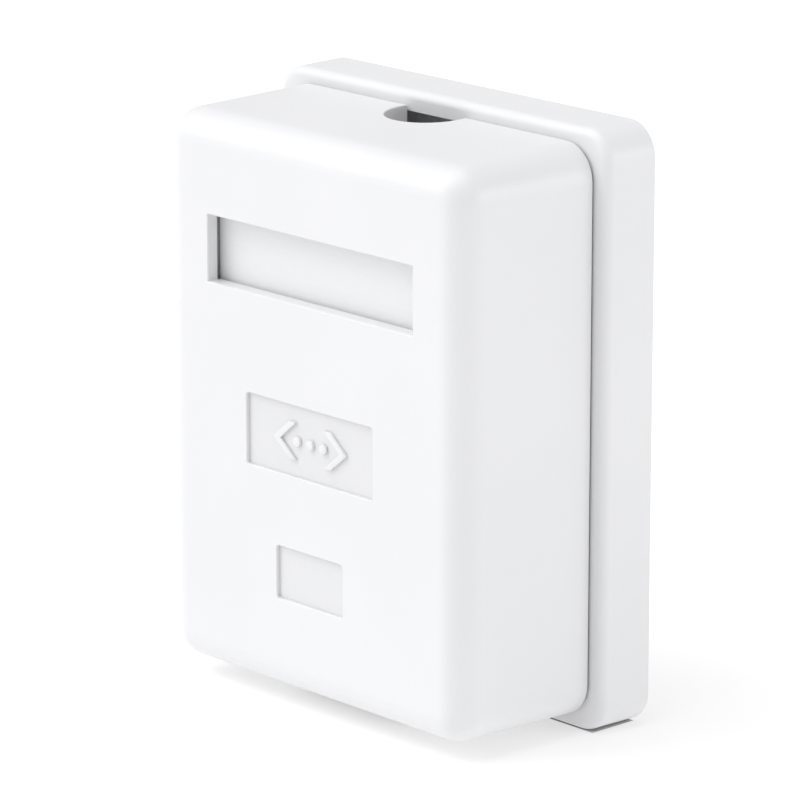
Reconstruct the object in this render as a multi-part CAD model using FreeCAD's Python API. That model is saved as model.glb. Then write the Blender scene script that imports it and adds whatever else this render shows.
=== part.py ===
import FreeCAD, Part
import math
import os

# Surface mount jack box: a shallow back tray fixed to the wall, a deep front
# cover that snaps onto it, and between them a small circuit board with one
# eight-way modular jack and two insulation-displacement terminal blocks.
#
# X is across the box, +Z is up and the back face lies on the wall plane y = 0.
# "Depth" is always measured from the wall towards the room, so y = -depth.

Vector = FreeCAD.Vector
PAST = 1.0                   # how far a cut runs past the face that it opens

# ------------------------------------------------------------ driving sizes, mm
# Back tray
BASE_WIDTH = 53.5
BASE_HEIGHT = 68.0
BASE_DEPTH = 7.0
BASE_CORNER = 3.8
BASE_WALL = 2.4
BASE_INSIDE_CORNER = 3.4
BASE_FLOOR = 2.0
BASE_DRAFT = 0.1             # how far each wall leans in at the rim
BASE_RIM_ROUND = 1.0

# Front cover
LEDGE_SIDE = 2.05            # tray rim left showing beside the cover
LEDGE_END = 1.7              # tray rim left showing above and below it
COVER_FRONT = 26.3           # depth of the front face
COVER_CORNER = 4.1
COVER_DRAFT = 0.02           # lean of the walls, mm per mm of depth
COVER_WALL = 2.0
COVER_FRONT_WALL = 1.4
COVER_EDGE_ROUND = 3.4
CAVITY_EDGE = 1.0            # bevel along the front edge of the inside
COVER_REAR_EDGE = 0.2
SEAM_GAP = 0.2              # shadow line between the cover and the tray

# Skirt of the cover that plugs into the tray, with its four snap bumps
SKIRT_LENGTH = 3.2
SKIRT_CLEARANCE = 0.45
SNAP_LENGTH = 7.0
SNAP_BUMP = 0.3
SNAP_OFFSET = 16.0           # height of the snaps above and below the middle
SNAP_SLIT = 0.8
SNAP_SLIT_STOP = 1.0         # the slits end this far below the tray rim
SNAP_POCKET_DEPTH = 0.5
SNAP_POCKET_PLAY = 0.5

# Cable notch in the top wall of the cover
NOTCH_RADIUS = 4.8
NOTCH_REACH = 6.4            # how far it comes forward of the tray rim
NOTCH_EDGE = 0.1
NOTCH_RELIEF = 4.0           # skirt cut away on each side of the notch

# Label window and the two sunk panels on the front face
WINDOW_WIDTH = 33.5
WINDOW_HEIGHT = 7.65
WINDOW_BELOW_TOP = 15.35     # window centre below the top of the cover
PANEL_WIDTH = 20.7
PANEL_HEIGHT = 8.2
PANEL_BELOW_TOP = 34.75
TAG_WIDTH = 10.85
TAG_HEIGHT = 6.1
TAG_BELOW_TOP = 50.3
SUNK_DEPTH = 0.45
SUNK_CORNER = 0.35
FRONT_EDGE = 0.1

# Label strip that closes the window from behind
STRIP_MARGIN = 1.0           # hidden border above and below the window
STRIP_END_REACH = 0.45       # hidden border at its two ends
STRIP_GAP = 0.8              # shadow gap behind the front wall
STRIP_RAIL_GAP = 0.4         # between the strip and the two rails before it
STRIP_THICKNESS = 0.9
STRIP_CORNER = 0.3
STRIP_PLAY = 0.2             # above and below it
STRIP_END_PLAY = 0.8         # beyond its two ends
FRAME_WALL = 1.0
FRAME_DEPTH = 3.0
HOOK_LENGTH = 3.0
HOOK_BITE = 0.6
HOOK_OFFSET = 8.0
HOOK_PLAY = 0.1

# Holes in the floor of the tray
WALL_SCREW_PITCH = 36.0
WALL_SLOT_LENGTH = 8.0
WALL_SLOT_WIDTH = 4.2
REAR_ENTRY_WIDTH = 16.0
REAR_ENTRY_HEIGHT = 7.5
REAR_ENTRY_GAP = 0.5         # between the hole and the tie bridge
REAR_ENTRY_CORNER = 1.5

# Bridge for a cable tie
TIE_BRIDGE_WIDTH = 4.0
TIE_BRIDGE_HEIGHT = 4.2
TIE_BRIDGE_RISE = 3.6
TIE_TUNNEL_HEIGHT = 2.6
TIE_TUNNEL_RISE = 2.2
TIE_BRIDGE_ABOVE_BOARD = 0.6

# Circuit board on its supports
BOARD_WIDTH = 27.0
BOARD_TOP_ROOM = 15.5        # room for the cable above the board
BOARD_THICKNESS = 1.6
BOARD_STANDOFF = 2.8
BOARD_SETBACK = 2.8          # lower edge of the board above the mouth of the jack
SUPPORT_WIDTH = 3.2
SUPPORT_INSET = 1.9
PEG_RADIUS = 1.2
PEG_CLEARANCE = 0.1
PEG_TOP_INSET = 4.2
PEG_ABOVE_JACK = 5.3

# Board screws
SCREW_RADIUS = 1.1
SCREW_LENGTH = 5.0
SCREW_HEAD_RADIUS = 2.1
SCREW_HEAD_HEIGHT = 1.5
SCREW_CLEARANCE = 0.05
SCREW_BOSS_RADIUS = 2.5
SCREW_BESIDE_JACK = 1.0      # between the screw's head and the jack
SCREW_ABOVE_MOUTH = 11.0
SCREW_CROSS_WIDTH = 0.55
SCREW_CROSS_LENGTH = 2.4
SCREW_CROSS_DEPTH = 0.9

# Jack housing and its plug cavity
JACK_WIDTH = 15.4
JACK_HEIGHT = 13.2           # from the board to its front side
JACK_LENGTH = 17.0
JACK_MOUTH_SINK = 0.2        # mouth of the jack inside the bottom face of the cover
JACK_PLAY = 0.2
JACK_FRONT_PLAY = 0.25
PORT_WIDTH = 11.9
PORT_HEIGHT = 6.8
PORT_FLOOR = 2.9             # wall under the plug, on the board's side
PORT_DEPTH = 12.5
LATCH_WIDTH = 6.3
LATCH_HEIGHT = 1.1
LATCH_SLOT_WIDTH = 3.8
LATCH_SLOT_HEIGHT = 1.4
LATCH_LIP = 1.5
JACK_EDGE = 0.3
JACK_PEG_RADIUS = 1.5
JACK_PEG_PITCH = 11.43
JACK_PEG_LENGTH = 1.9
JACK_PEG_ABOVE_MOUTH = 7.2
HOLD_RIB_THICKNESS = 1.2
HOLD_RIB_PITCH = 9.0
HOLD_RIB_LENGTH = 13.0
HOLD_RIB_GAP = 0.3

# The eight spring contacts of the jack and the comb that carries them
CONTACT_COUNT = 8
CONTACT_PITCH = 1.02
CONTACT_WIDTH = 0.35
CONTACT_THICKNESS = 0.3
CONTACT_BEND = 0.6
CONTACT_RUN = 1.3            # height of the straight run above the board
CONTACT_MOUTH_INSET = 1.5
CONTACT_RETURN = 1.25
CONTACT_SLOPE = 16.0         # degrees
CONTACT_BEAM = 9.2
CONTACT_TAIL = 1.6           # tail showing behind the board
CONTACT_PLAY = 0.13
CONTACT_BED = 0.2
TAIL_ROWS = (13.3, 15.1)     # two rows of tails, measured from the mouth
CARRIER_WIDTH = 13.0
CARRIER_HEIGHT = 11.0
CARRIER_PLAY = 0.1

# Insulation-displacement terminal blocks
BLOCK_WIDTH = 5.6
BLOCK_HEIGHT = 8.0
BLOCK_END = 2.1              # end wall outside the outermost wire slots
BLOCK_EDGE = 1.5             # from the block to the side of the board
BLOCK_BELOW_TOP = 8.0        # block centre below the top edge of the board
WIRE_PITCH = 3.4
WIRE_COUNT = 4
WIRE_SLOT_WIDTH = 0.9
WIRE_SLOT_DEPTH = 4.8
WIRE_LEAD_WIDTH = 2.0
WIRE_LEAD_DEPTH = 1.5
TERMINAL_WIDTH = 2.1
TERMINAL_THICKNESS = 0.4
TERMINAL_BELOW_BLOCK = 1.4
TERMINAL_SLIT = 0.4
TERMINAL_SLIT_DEPTH = 3.6
TERMINAL_THROAT = 0.7
TERMINAL_PIN_WIDTH = 0.7
TERMINAL_PLAY = 0.1

# Caps pressed over the terminal blocks
CAP_WALL = 0.9
CAP_TOP = 1.3
CAP_PLAY = 0.25
CAP_ENGAGEMENT = 3.2
CAP_HEADROOM = 0.3
CAP_SLOT_WIDTH = 1.3
CAP_SLOT_DEPTH = 2.4
CAP_FIN_WIDTH = 0.4
CAP_FIN_LENGTH = 0.8
CAP_FIN_REACH = 1.6
CAP_FIN_PITCH = 3.4
CAP_EDGE = 0.3

# --------------------------------------------------------------- derived places
COVER_WIDTH = BASE_WIDTH - 2 * LEDGE_SIDE
COVER_HEIGHT = BASE_HEIGHT - 2 * LEDGE_END
COVER_REAR = BASE_DEPTH + SEAM_GAP
COVER_LENGTH = COVER_FRONT - COVER_REAR
COVER_INSET = COVER_DRAFT * COVER_LENGTH
COVER_INSIDE = COVER_FRONT - COVER_FRONT_WALL      # depth of the inner front face
COVER_TOP = COVER_HEIGHT / 2

BASE_INSIDE_WIDTH = BASE_WIDTH - 2 * BASE_WALL
BASE_INSIDE_HEIGHT = BASE_HEIGHT - 2 * BASE_WALL

SKIRT_WIDTH = BASE_INSIDE_WIDTH - 2 * SKIRT_CLEARANCE
SKIRT_HEIGHT = BASE_INSIDE_HEIGHT - 2 * SKIRT_CLEARANCE
SKIRT_CORNER = BASE_INSIDE_CORNER - SKIRT_CLEARANCE
SKIRT_END = COVER_REAR - SKIRT_LENGTH
CAVITY_WIDTH = COVER_WIDTH - 2 * COVER_WALL
CAVITY_HEIGHT = COVER_HEIGHT - 2 * COVER_WALL
CAVITY_CORNER = COVER_CORNER - COVER_WALL

NOTCH_CENTRE = BASE_DEPTH + NOTCH_REACH - NOTCH_RADIUS

WINDOW_Z = COVER_TOP - WINDOW_BELOW_TOP
PANEL_Z = COVER_TOP - PANEL_BELOW_TOP
TAG_Z = COVER_TOP - TAG_BELOW_TOP
STRIP_FRONT = COVER_INSIDE - STRIP_GAP
STRIP_HEIGHT = WINDOW_HEIGHT + 2 * STRIP_MARGIN
STRIP_WIDTH = WINDOW_WIDTH + 2 * STRIP_END_REACH

MOUTH_Z = JACK_MOUTH_SINK - COVER_HEIGHT / 2
BOARD_BACK = BASE_FLOOR + BOARD_STANDOFF
BOARD_FACE = BOARD_BACK + BOARD_THICKNESS
BOARD_BOTTOM = MOUTH_Z + BOARD_SETBACK
BOARD_TOP = BASE_INSIDE_HEIGHT / 2 - BOARD_TOP_ROOM
SCREW_Z = MOUTH_Z + SCREW_ABOVE_MOUTH
SCREW_X = JACK_WIDTH / 2 + SCREW_BESIDE_JACK + SCREW_HEAD_RADIUS
SCREW_PLACES = [(side * SCREW_X, SCREW_Z) for side in (-1, 1)]
SUPPORT_PLACES = [(side * (BOARD_WIDTH / 2 - SUPPORT_INSET), z)
                  for side in (-1, 1)
                  for z in (BOARD_TOP - SUPPORT_INSET, BOARD_BOTTOM + SUPPORT_INSET)]
TIE_BRIDGE_Z = BOARD_TOP + TIE_BRIDGE_ABOVE_BOARD + TIE_BRIDGE_HEIGHT / 2
REAR_ENTRY_Z = TIE_BRIDGE_Z + (TIE_BRIDGE_HEIGHT + REAR_ENTRY_HEIGHT) / 2 + REAR_ENTRY_GAP

JACK_FRONT = BOARD_FACE + JACK_HEIGHT
PORT_BACK = BOARD_FACE + PORT_FLOOR                # depth of the plug cavity's floor
PORT_FRONT = PORT_BACK + PORT_HEIGHT
PORT_END_Z = MOUTH_Z + PORT_DEPTH
JACK_END_Z = MOUTH_Z + JACK_LENGTH
PEG_PLACES = [(0, BOARD_TOP - PEG_TOP_INSET), (0, JACK_END_Z + PEG_ABOVE_JACK)]
JACK_PEG_PLACES = [(side * JACK_PEG_PITCH / 2, MOUTH_Z + JACK_PEG_ABOVE_MOUTH)
                   for side in (-1, 1)]
CONTACT_DEPTH = BOARD_FACE + CONTACT_RUN           # depth of the contacts' straight run
CONTACT_PLACES = [((i - (CONTACT_COUNT - 1) / 2) * CONTACT_PITCH,
                   MOUTH_Z + TAIL_ROWS[i % 2]) for i in range(CONTACT_COUNT)]
TAIL_END = BOARD_BACK - CONTACT_TAIL

BLOCK_X = (BOARD_WIDTH - BLOCK_WIDTH) / 2 - BLOCK_EDGE
BLOCK_Z = BOARD_TOP - BLOCK_BELOW_TOP
BLOCK_LENGTH = (WIRE_COUNT - 1) * WIRE_PITCH + 2 * BLOCK_END
BLOCK_FRONT = BOARD_FACE + BLOCK_HEIGHT
WIRE_PLACES = [BLOCK_Z + (i - (WIRE_COUNT - 1) / 2) * WIRE_PITCH for i in range(WIRE_COUNT)]
SIDES = {"left": -1, "right": 1}


# ---------------------------------------------------------------- small helpers
def block(x_range, depth_range, z_range):
    """A box between two values of x, of depth and of z."""
    (x0, x1), (d0, d1), (z0, z1) = x_range, depth_range, z_range
    return Part.makeBox(x1 - x0, d1 - d0, z1 - z0, Vector(x0, -d1, z0))


def centred(middle, width):
    return (middle - width / 2, middle + width / 2)


def rod(x, z, radius, depth_range):
    """A round bar that points straight out of the wall."""
    d0, d1 = depth_range
    return Part.makeCylinder(radius, d1 - d0, Vector(x, -d0, z), Vector(0, -1, 0))


def rounded_outline(width, height, radius, depth, x=0.0, z=0.0):
    """A closed rectangle with round corners, parallel to the wall."""
    half_w, half_h = width / 2, height / 2
    on_arc = radius * (1 - math.sqrt(0.5))
    edges = []
    ends = []
    for sx, sz in ((1, 1), (-1, 1), (-1, -1), (1, -1)):
        side = Vector(x + sx * half_w, -depth, z + sz * (half_h - radius))
        middle = Vector(x + sx * (half_w - on_arc), -depth, z + sz * (half_h - on_arc))
        end = Vector(x + sx * (half_w - radius), -depth, z + sz * half_h)
        first, last = (side, end) if sx * sz > 0 else (end, side)
        edges.append(Part.Arc(first, middle, last).toShape())
        ends.append((first, last))
    for (_, start), (stop, _) in zip(ends, ends[1:] + ends[:1]):
        if start.distanceToPoint(stop) > 1e-6:
            edges.append(Part.makeLine(start, stop))
    return Part.Wire(Part.__sortEdges__(edges))


def rounded_prism(width, height, radius, depth_range, x=0.0, z=0.0):
    d0, d1 = depth_range
    outline = rounded_outline(width, height, radius, d0, x, z)
    return Part.Face(outline).extrude(Vector(0, d0 - d1, 0))


def drafted_block(width, height, radius, inset, depth_range):
    """A rounded block whose walls lean in by inset over its depth."""
    d0, d1 = depth_range
    rear = rounded_outline(width, height, radius, d0)
    front = rounded_outline(width - 2 * inset, height - 2 * inset, radius - inset, d1)
    return Part.makeLoft([rear, front], True, True)


def edges_at_depth(shape, depth, x_limit=None):
    """Edges that lie wholly at one depth, and within x_limit of the middle if given."""
    found = []
    for edge in shape.Edges:
        box = edge.BoundBox
        flat = abs(box.YMin + depth) < 1e-3 and abs(box.YMax + depth) < 1e-3
        inside = x_limit is None or (box.XMin > -x_limit and box.XMax < x_limit)
        if flat and inside:
            found.append(edge)
    return found


def prism_along_x(points, x_range):
    """A prism along X from (depth, z) corner points."""
    x0, x1 = x_range
    corners = [Vector(x0, -d, z) for d, z in points]
    face = Part.Face(Part.makePolygon(corners + corners[:1]))
    return face.extrude(Vector(x1 - x0, 0, 0))


def prism_along_z(points, z_range):
    """A prism along Z from (x, depth) corner points."""
    z0, z1 = z_range
    corners = [Vector(x, -d, z0) for x, d in points]
    face = Part.Face(Part.makePolygon(corners + corners[:1]))
    return face.extrude(Vector(0, 0, z1 - z0))


def mirrored(shape):
    """The same shape on the other side of the middle plane."""
    return shape.mirror(Vector(0, 0, 0), Vector(1, 0, 0))


def bent_strip(path, bend, thickness, width, x):
    """A strip of even thickness along (z, depth) points, with round bends."""
    half = thickness / 2
    points = [Vector(z, d, 0) for z, d in path]
    runs = [(b - a).normalize() for a, b in zip(points, points[1:])]
    normals = [Vector(-run.y, run.x, 0) for run in runs]

    def place(point):
        return Vector(x - width / 2, -point.y, point.x)

    sides = {}
    for side in (1, -1):
        edges = []
        last = points[0] + normals[0] * half * side
        for i in range(1, len(points) - 1):
            turn = runs[i - 1].cross(runs[i]).z
            reach = bend * math.tan(runs[i - 1].getAngle(runs[i]) / 2)
            inward = 1 if turn > 0 else -1
            start = points[i] - runs[i - 1] * reach
            stop = points[i] + runs[i] * reach
            centre = start + normals[i - 1] * bend * inward
            outward = (points[i] - centre).normalize()
            middle = centre + outward * (bend - half * side * inward)
            start_side = start + normals[i - 1] * half * side
            stop_side = stop + normals[i] * half * side
            edges.append(Part.makeLine(place(last), place(start_side)))
            edges.append(Part.Arc(place(start_side), place(middle), place(stop_side)).toShape())
            last = stop_side
        end = points[-1] + normals[-1] * half * side
        edges.append(Part.makeLine(place(last), place(end)))
        sides[side] = (points[0] + normals[0] * half * side, edges, end)
    caps = [Part.makeLine(place(sides[1][k]), place(sides[-1][k])) for k in (0, 2)]
    outline = Part.Wire(Part.__sortEdges__(sides[1][1] + sides[-1][1] + caps))
    return Part.Face(outline).extrude(Vector(width, 0, 0))


# -------------------------------------------------------------------- back tray
def wall_slot(x, depth_range):
    """A slot along X with round ends, for a wall screw."""
    run = WALL_SLOT_LENGTH - WALL_SLOT_WIDTH
    slot = block(centred(x, run), depth_range, centred(0, WALL_SLOT_WIDTH))
    for end in (-1, 1):
        slot = slot.fuse(rod(x + end * run / 2, 0, WALL_SLOT_WIDTH / 2, depth_range))
    return slot.removeSplitter()


def make_base():
    tray = drafted_block(BASE_WIDTH, BASE_HEIGHT, BASE_CORNER, BASE_DRAFT, (0, BASE_DEPTH))
    tray = tray.makeFillet(BASE_RIM_ROUND, edges_at_depth(tray, BASE_DEPTH))
    inside = rounded_prism(BASE_INSIDE_WIDTH, BASE_INSIDE_HEIGHT, BASE_INSIDE_CORNER,
                           (BASE_FLOOR, BASE_DEPTH + PAST))
    tray = tray.cut(inside)

    added = []
    for x, z in SUPPORT_PLACES + PEG_PLACES:
        added.append(block(centred(x, SUPPORT_WIDTH), (BASE_FLOOR, BOARD_BACK), centred(z, SUPPORT_WIDTH)))
    for x, z in PEG_PLACES:
        added.append(rod(x, z, PEG_RADIUS, (BASE_FLOOR, BOARD_FACE)))
    for x, z in SCREW_PLACES:
        added.append(rod(x, z, SCREW_BOSS_RADIUS, (BASE_FLOOR, BOARD_BACK)))
    added.append(block(centred(0, TIE_BRIDGE_WIDTH), (BASE_FLOOR, BASE_FLOOR + TIE_BRIDGE_RISE),
                       centred(TIE_BRIDGE_Z, TIE_BRIDGE_HEIGHT)))
    tray = tray.fuse(added)

    cuts = []
    for x, z in SCREW_PLACES:
        pilot_end = BOARD_FACE - SCREW_LENGTH - SCREW_CLEARANCE
        cuts.append(rod(x, z, SCREW_RADIUS + SCREW_CLEARANCE, (pilot_end, BOARD_FACE)))
    cuts.append(block(centred(0, TIE_BRIDGE_WIDTH + 2 * PAST), (BASE_FLOOR, BASE_FLOOR + TIE_TUNNEL_RISE),
                      centred(TIE_BRIDGE_Z, TIE_TUNNEL_HEIGHT)))
    for side in (-1, 1):
        cuts.append(wall_slot(side * WALL_SCREW_PITCH / 2, (-PAST, BASE_FLOOR + PAST)))
    cuts.append(rounded_prism(REAR_ENTRY_WIDTH, REAR_ENTRY_HEIGHT, REAR_ENTRY_CORNER,
                              (-PAST, BASE_FLOOR + PAST), z=REAR_ENTRY_Z))
    # room for the mouth of the jack in the lower wall
    cuts.append(block(centred(0, JACK_WIDTH + 2 * JACK_PLAY),
                      (BOARD_FACE - JACK_PLAY, BASE_DEPTH + PAST),
                      (MOUTH_Z - JACK_PLAY, 0)))
    pocket = (SKIRT_END + SNAP_POCKET_PLAY / 2, BASE_DEPTH - SNAP_POCKET_PLAY)
    reach = BASE_INSIDE_WIDTH / 2
    for z in (-SNAP_OFFSET, SNAP_OFFSET):
        right = block((reach - PAST, reach + SNAP_POCKET_DEPTH), pocket,
                      centred(z, SNAP_LENGTH + 2 * SNAP_POCKET_PLAY))
        cuts += [right, mirrored(right)]
    return tray.cut(cuts)


# ------------------------------------------------------------------ front cover
def make_cover():
    shell = drafted_block(COVER_WIDTH, COVER_HEIGHT, COVER_CORNER, COVER_INSET,
                          (COVER_REAR, COVER_FRONT))
    shell = shell.makeFillet(COVER_EDGE_ROUND, edges_at_depth(shell, COVER_FRONT))
    shell = shell.makeChamfer(COVER_REAR_EDGE, edges_at_depth(shell, COVER_REAR))
    skirt = rounded_prism(SKIRT_WIDTH, SKIRT_HEIGHT, SKIRT_CORNER, (SKIRT_END, COVER_REAR + PAST))
    shell = shell.fuse(skirt)

    cavity = rounded_prism(CAVITY_WIDTH, CAVITY_HEIGHT, CAVITY_CORNER, (SKIRT_END - PAST, COVER_INSIDE))
    shell = shell.cut(cavity.makeChamfer(CAVITY_EDGE, edges_at_depth(cavity, COVER_INSIDE)))

    openings = [
        rounded_prism(WINDOW_WIDTH, WINDOW_HEIGHT, FRONT_EDGE,
                      (COVER_INSIDE - PAST, COVER_FRONT + PAST), z=WINDOW_Z),
        rounded_prism(PANEL_WIDTH, PANEL_HEIGHT, SUNK_CORNER,
                      (COVER_FRONT - SUNK_DEPTH, COVER_FRONT + PAST), z=PANEL_Z),
        rounded_prism(TAG_WIDTH, TAG_HEIGHT, SUNK_CORNER,
                      (COVER_FRONT - SUNK_DEPTH, COVER_FRONT + PAST), z=TAG_Z)]
    shell = shell.cut(openings)
    front_limit = WINDOW_WIDTH / 2 + FRONT_EDGE
    shell = shell.makeChamfer(FRONT_EDGE, edges_at_depth(shell, COVER_FRONT, front_limit))
    shell = cut_cable_notch(shell)
    shell = shell.fuse(label_frame() + hold_ribs() + snap_bumps())
    return shell.cut([jack_cut_out()] + snap_slits())


def cut_cable_notch(shell):
    """The round-ended notch in the top wall, open towards the tray."""
    top = (COVER_TOP - 2 * COVER_WALL, COVER_TOP + PAST)
    round_end = Part.makeCylinder(NOTCH_RADIUS, top[1] - top[0], Vector(0, -NOTCH_CENTRE, top[0]))
    straight = block(centred(0, 2 * NOTCH_RADIUS), (SKIRT_END - PAST, NOTCH_CENTRE), top)
    relief = block(centred(0, 2 * (NOTCH_RADIUS + NOTCH_RELIEF)), (SKIRT_END - PAST, COVER_REAR), top)
    shell = shell.cut([round_end, straight, relief])
    rim = [e for e in shell.Edges
           if e.BoundBox.ZMin > COVER_TOP - COVER_WALL / 2
           and -e.BoundBox.YMax > NOTCH_CENTRE - 1e-3
           and abs(e.BoundBox.XMin) < NOTCH_RADIUS + 0.1 and abs(e.BoundBox.XMax) < NOTCH_RADIUS + 0.1
           and -e.BoundBox.YMin < NOTCH_CENTRE + NOTCH_RADIUS + 0.1]
    return shell.makeChamfer(NOTCH_EDGE, rim)


def jack_cut_out():
    return block(centred(0, JACK_WIDTH + 2 * JACK_PLAY), (SKIRT_END - PAST, JACK_FRONT + JACK_FRONT_PLAY),
                 (-COVER_TOP - PAST, COVER_WALL + PAST - COVER_TOP))


def label_frame():
    """Wall round the label window, with seats and hooks for the label strip."""
    root = COVER_INSIDE + COVER_FRONT_WALL / 2
    room_width = STRIP_WIDTH + 2 * STRIP_END_PLAY
    room_height = STRIP_HEIGHT + 2 * STRIP_PLAY
    frame_range = (COVER_INSIDE - FRAME_DEPTH, root)
    frame = block(centred(0, room_width + 2 * FRAME_WALL), frame_range,
                  centred(WINDOW_Z, room_height + 2 * FRAME_WALL))
    room = block(centred(0, room_width), (frame_range[0] - PAST, root + PAST),
                 centred(WINDOW_Z, room_height))
    pieces = [frame.cut(room)]
    hook_face = STRIP_FRONT - STRIP_THICKNESS - HOOK_PLAY
    hook_tip = room_height / 2 - STRIP_PLAY - HOOK_BITE
    for way in (-1, 1):
        rail = sorted(WINDOW_Z + way * height / 2 for height in (WINDOW_HEIGHT, STRIP_HEIGHT))
        pieces.append(block(centred(0, WINDOW_WIDTH), (STRIP_FRONT + STRIP_RAIL_GAP, root), rail))
        hook = [(hook_face, WINDOW_Z + way * (room_height / 2 + FRAME_WALL / 2)),
                (hook_face, WINDOW_Z + way * hook_tip),
                (frame_range[0], WINDOW_Z + way * room_height / 2),
                (frame_range[0], WINDOW_Z + way * (room_height / 2 + FRAME_WALL / 2))]
        for x in (-HOOK_OFFSET, HOOK_OFFSET):
            pieces.append(prism_along_x(hook, centred(x, HOOK_LENGTH)))
    return pieces


def hold_ribs():
    """Two ribs that stand over the jack, so a plug can't lift it off the board."""
    root = COVER_INSIDE + COVER_FRONT_WALL / 2
    low = COVER_EDGE_ROUND - COVER_TOP
    return [block(centred(side * HOLD_RIB_PITCH / 2, HOLD_RIB_THICKNESS),
                  (JACK_FRONT + HOLD_RIB_GAP, root), (low, low + HOLD_RIB_LENGTH))
            for side in (-1, 1)]


def snap_bumps():
    """Low bumps on the skirt, two on each long side."""
    face = SKIRT_WIDTH / 2
    middle = (SKIRT_END + BASE_DEPTH) / 2
    rise = (BASE_DEPTH - SKIRT_END) / 3
    profile = [(face - CAVITY_CORNER / 4, middle - rise), (face, middle - rise),
               (face + SNAP_BUMP, middle), (face, middle + rise),
               (face - CAVITY_CORNER / 4, middle + rise)]
    bumps = []
    for z in (-SNAP_OFFSET, SNAP_OFFSET):
        right = prism_along_z(profile, centred(z, SNAP_LENGTH))
        bumps += [right, mirrored(right)]
    return bumps


def snap_slits():
    """Slits each side of a snap bump, which let the skirt flex there."""
    slits = []
    for z in (-SNAP_OFFSET, SNAP_OFFSET):
        for end in (-1, 1):
            middle = z + end * (SNAP_LENGTH + SNAP_SLIT) / 2
            right = block((CAVITY_WIDTH / 2 - PAST, SKIRT_WIDTH / 2 + PAST),
                          (SKIRT_END - PAST, BASE_DEPTH - SNAP_SLIT_STOP), centred(middle, SNAP_SLIT))
            slits += [right, mirrored(right)]
    return slits


def make_label_strip():
    """The plain strip that shows in the label window."""
    return rounded_prism(STRIP_WIDTH, STRIP_HEIGHT, STRIP_CORNER,
                         (STRIP_FRONT - STRIP_THICKNESS, STRIP_FRONT), z=WINDOW_Z)


# ---------------------------------------------------------------- circuit board
def make_circuit_board():
    board = block(centred(0, BOARD_WIDTH), (BOARD_BACK, BOARD_FACE), (BOARD_BOTTOM, BOARD_TOP))
    through = (BOARD_BACK - PAST, BOARD_FACE + PAST)
    holes = [rod(x, z, SCREW_RADIUS + 2 * SCREW_CLEARANCE, through) for x, z in SCREW_PLACES]
    holes += [rod(x, z, PEG_RADIUS + PEG_CLEARANCE, through) for x, z in PEG_PLACES]
    holes += [rod(x, z, JACK_PEG_RADIUS + PEG_CLEARANCE, through) for x, z in JACK_PEG_PLACES]
    tail_hole = CONTACT_WIDTH + 2 * CONTACT_PLAY
    holes += [block(centred(x, tail_hole), through, centred(z, tail_hole)) for x, z in CONTACT_PLACES]
    pin_hole = TERMINAL_PIN_WIDTH + 2 * TERMINAL_PLAY
    holes += [block(centred(side * BLOCK_X, pin_hole), through, centred(z, pin_hole))
              for side in SIDES.values() for z in WIRE_PLACES]
    return board.cut(holes)


def make_board_screws():
    """Two self-tapping screws with cross-recessed heads, alike and apart."""
    screws = []
    for x, z in SCREW_PLACES:
        top = BOARD_FACE + SCREW_HEAD_HEIGHT
        head = rod(x, z, SCREW_HEAD_RADIUS, (BOARD_FACE, top))
        screw = head.fuse(rod(x, z, SCREW_RADIUS, (BOARD_FACE - SCREW_LENGTH, BOARD_FACE)))
        floor = top - SCREW_CROSS_DEPTH
        for wide, tall in ((SCREW_CROSS_LENGTH, SCREW_CROSS_WIDTH),
                           (SCREW_CROSS_WIDTH, SCREW_CROSS_LENGTH)):
            screw = screw.cut(block(centred(x, wide), (floor, top + PAST), centred(z, tall)))
        screws.append(screw)
    return Part.makeCompound(screws)


# ------------------------------------------------------------------------- jack
def make_jack_housing():
    body = block(centred(0, JACK_WIDTH), (BOARD_FACE, JACK_FRONT), (MOUTH_Z, JACK_END_Z))
    long_edges = [e for e in body.Edges
                  if e.BoundBox.ZLength > JACK_LENGTH / 2 and -e.BoundBox.YMax > BOARD_FACE + JACK_EDGE]
    mouth_edges = [e for e in body.Edges
                   if e.BoundBox.ZMax < MOUTH_Z + 1e-3 and -e.BoundBox.YMin > BOARD_FACE + JACK_EDGE]
    body = body.makeChamfer(JACK_EDGE, long_edges + mouth_edges)
    for x, z in JACK_PEG_PLACES:
        body = body.fuse(rod(x, z, JACK_PEG_RADIUS, (BOARD_FACE - JACK_PEG_LENGTH, BOARD_FACE + PAST)))

    latch_front = PORT_FRONT + LATCH_HEIGHT
    slot_front = latch_front + LATCH_SLOT_HEIGHT
    inside = (MOUTH_Z - PAST, PORT_END_Z)
    cuts = [block(centred(0, PORT_WIDTH), (PORT_BACK, PORT_FRONT), inside),
            block(centred(0, LATCH_WIDTH), (PORT_FRONT - PAST, latch_front), inside),
            block(centred(0, LATCH_SLOT_WIDTH), (PORT_FRONT - PAST, slot_front), inside),
            block(centred(0, LATCH_WIDTH), (PORT_FRONT - PAST, slot_front),
                  (MOUTH_Z + LATCH_LIP, PORT_END_Z))]
    # pocket for the contact carrier, open to the rear and to the board
    cuts.append(block(centred(0, CARRIER_WIDTH + 2 * CARRIER_PLAY),
                      (BOARD_FACE - PAST, BOARD_FACE + CARRIER_HEIGHT + CARRIER_PLAY),
                      (PORT_END_Z, JACK_END_Z + PAST)))
    # one groove for each contact in the wall under the plug
    bed = CONTACT_DEPTH - CONTACT_THICKNESS / 2 - CONTACT_BED
    groove_z = MOUTH_Z + CONTACT_MOUTH_INSET - CONTACT_THICKNESS - CONTACT_PLAY
    for x, _ in CONTACT_PLACES:
        cuts.append(block(centred(x, CONTACT_WIDTH + 2 * CONTACT_PLAY), (bed, PORT_BACK + PAST),
                          (groove_z, PORT_END_Z + PAST)))
    return body.cut(cuts)


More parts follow.
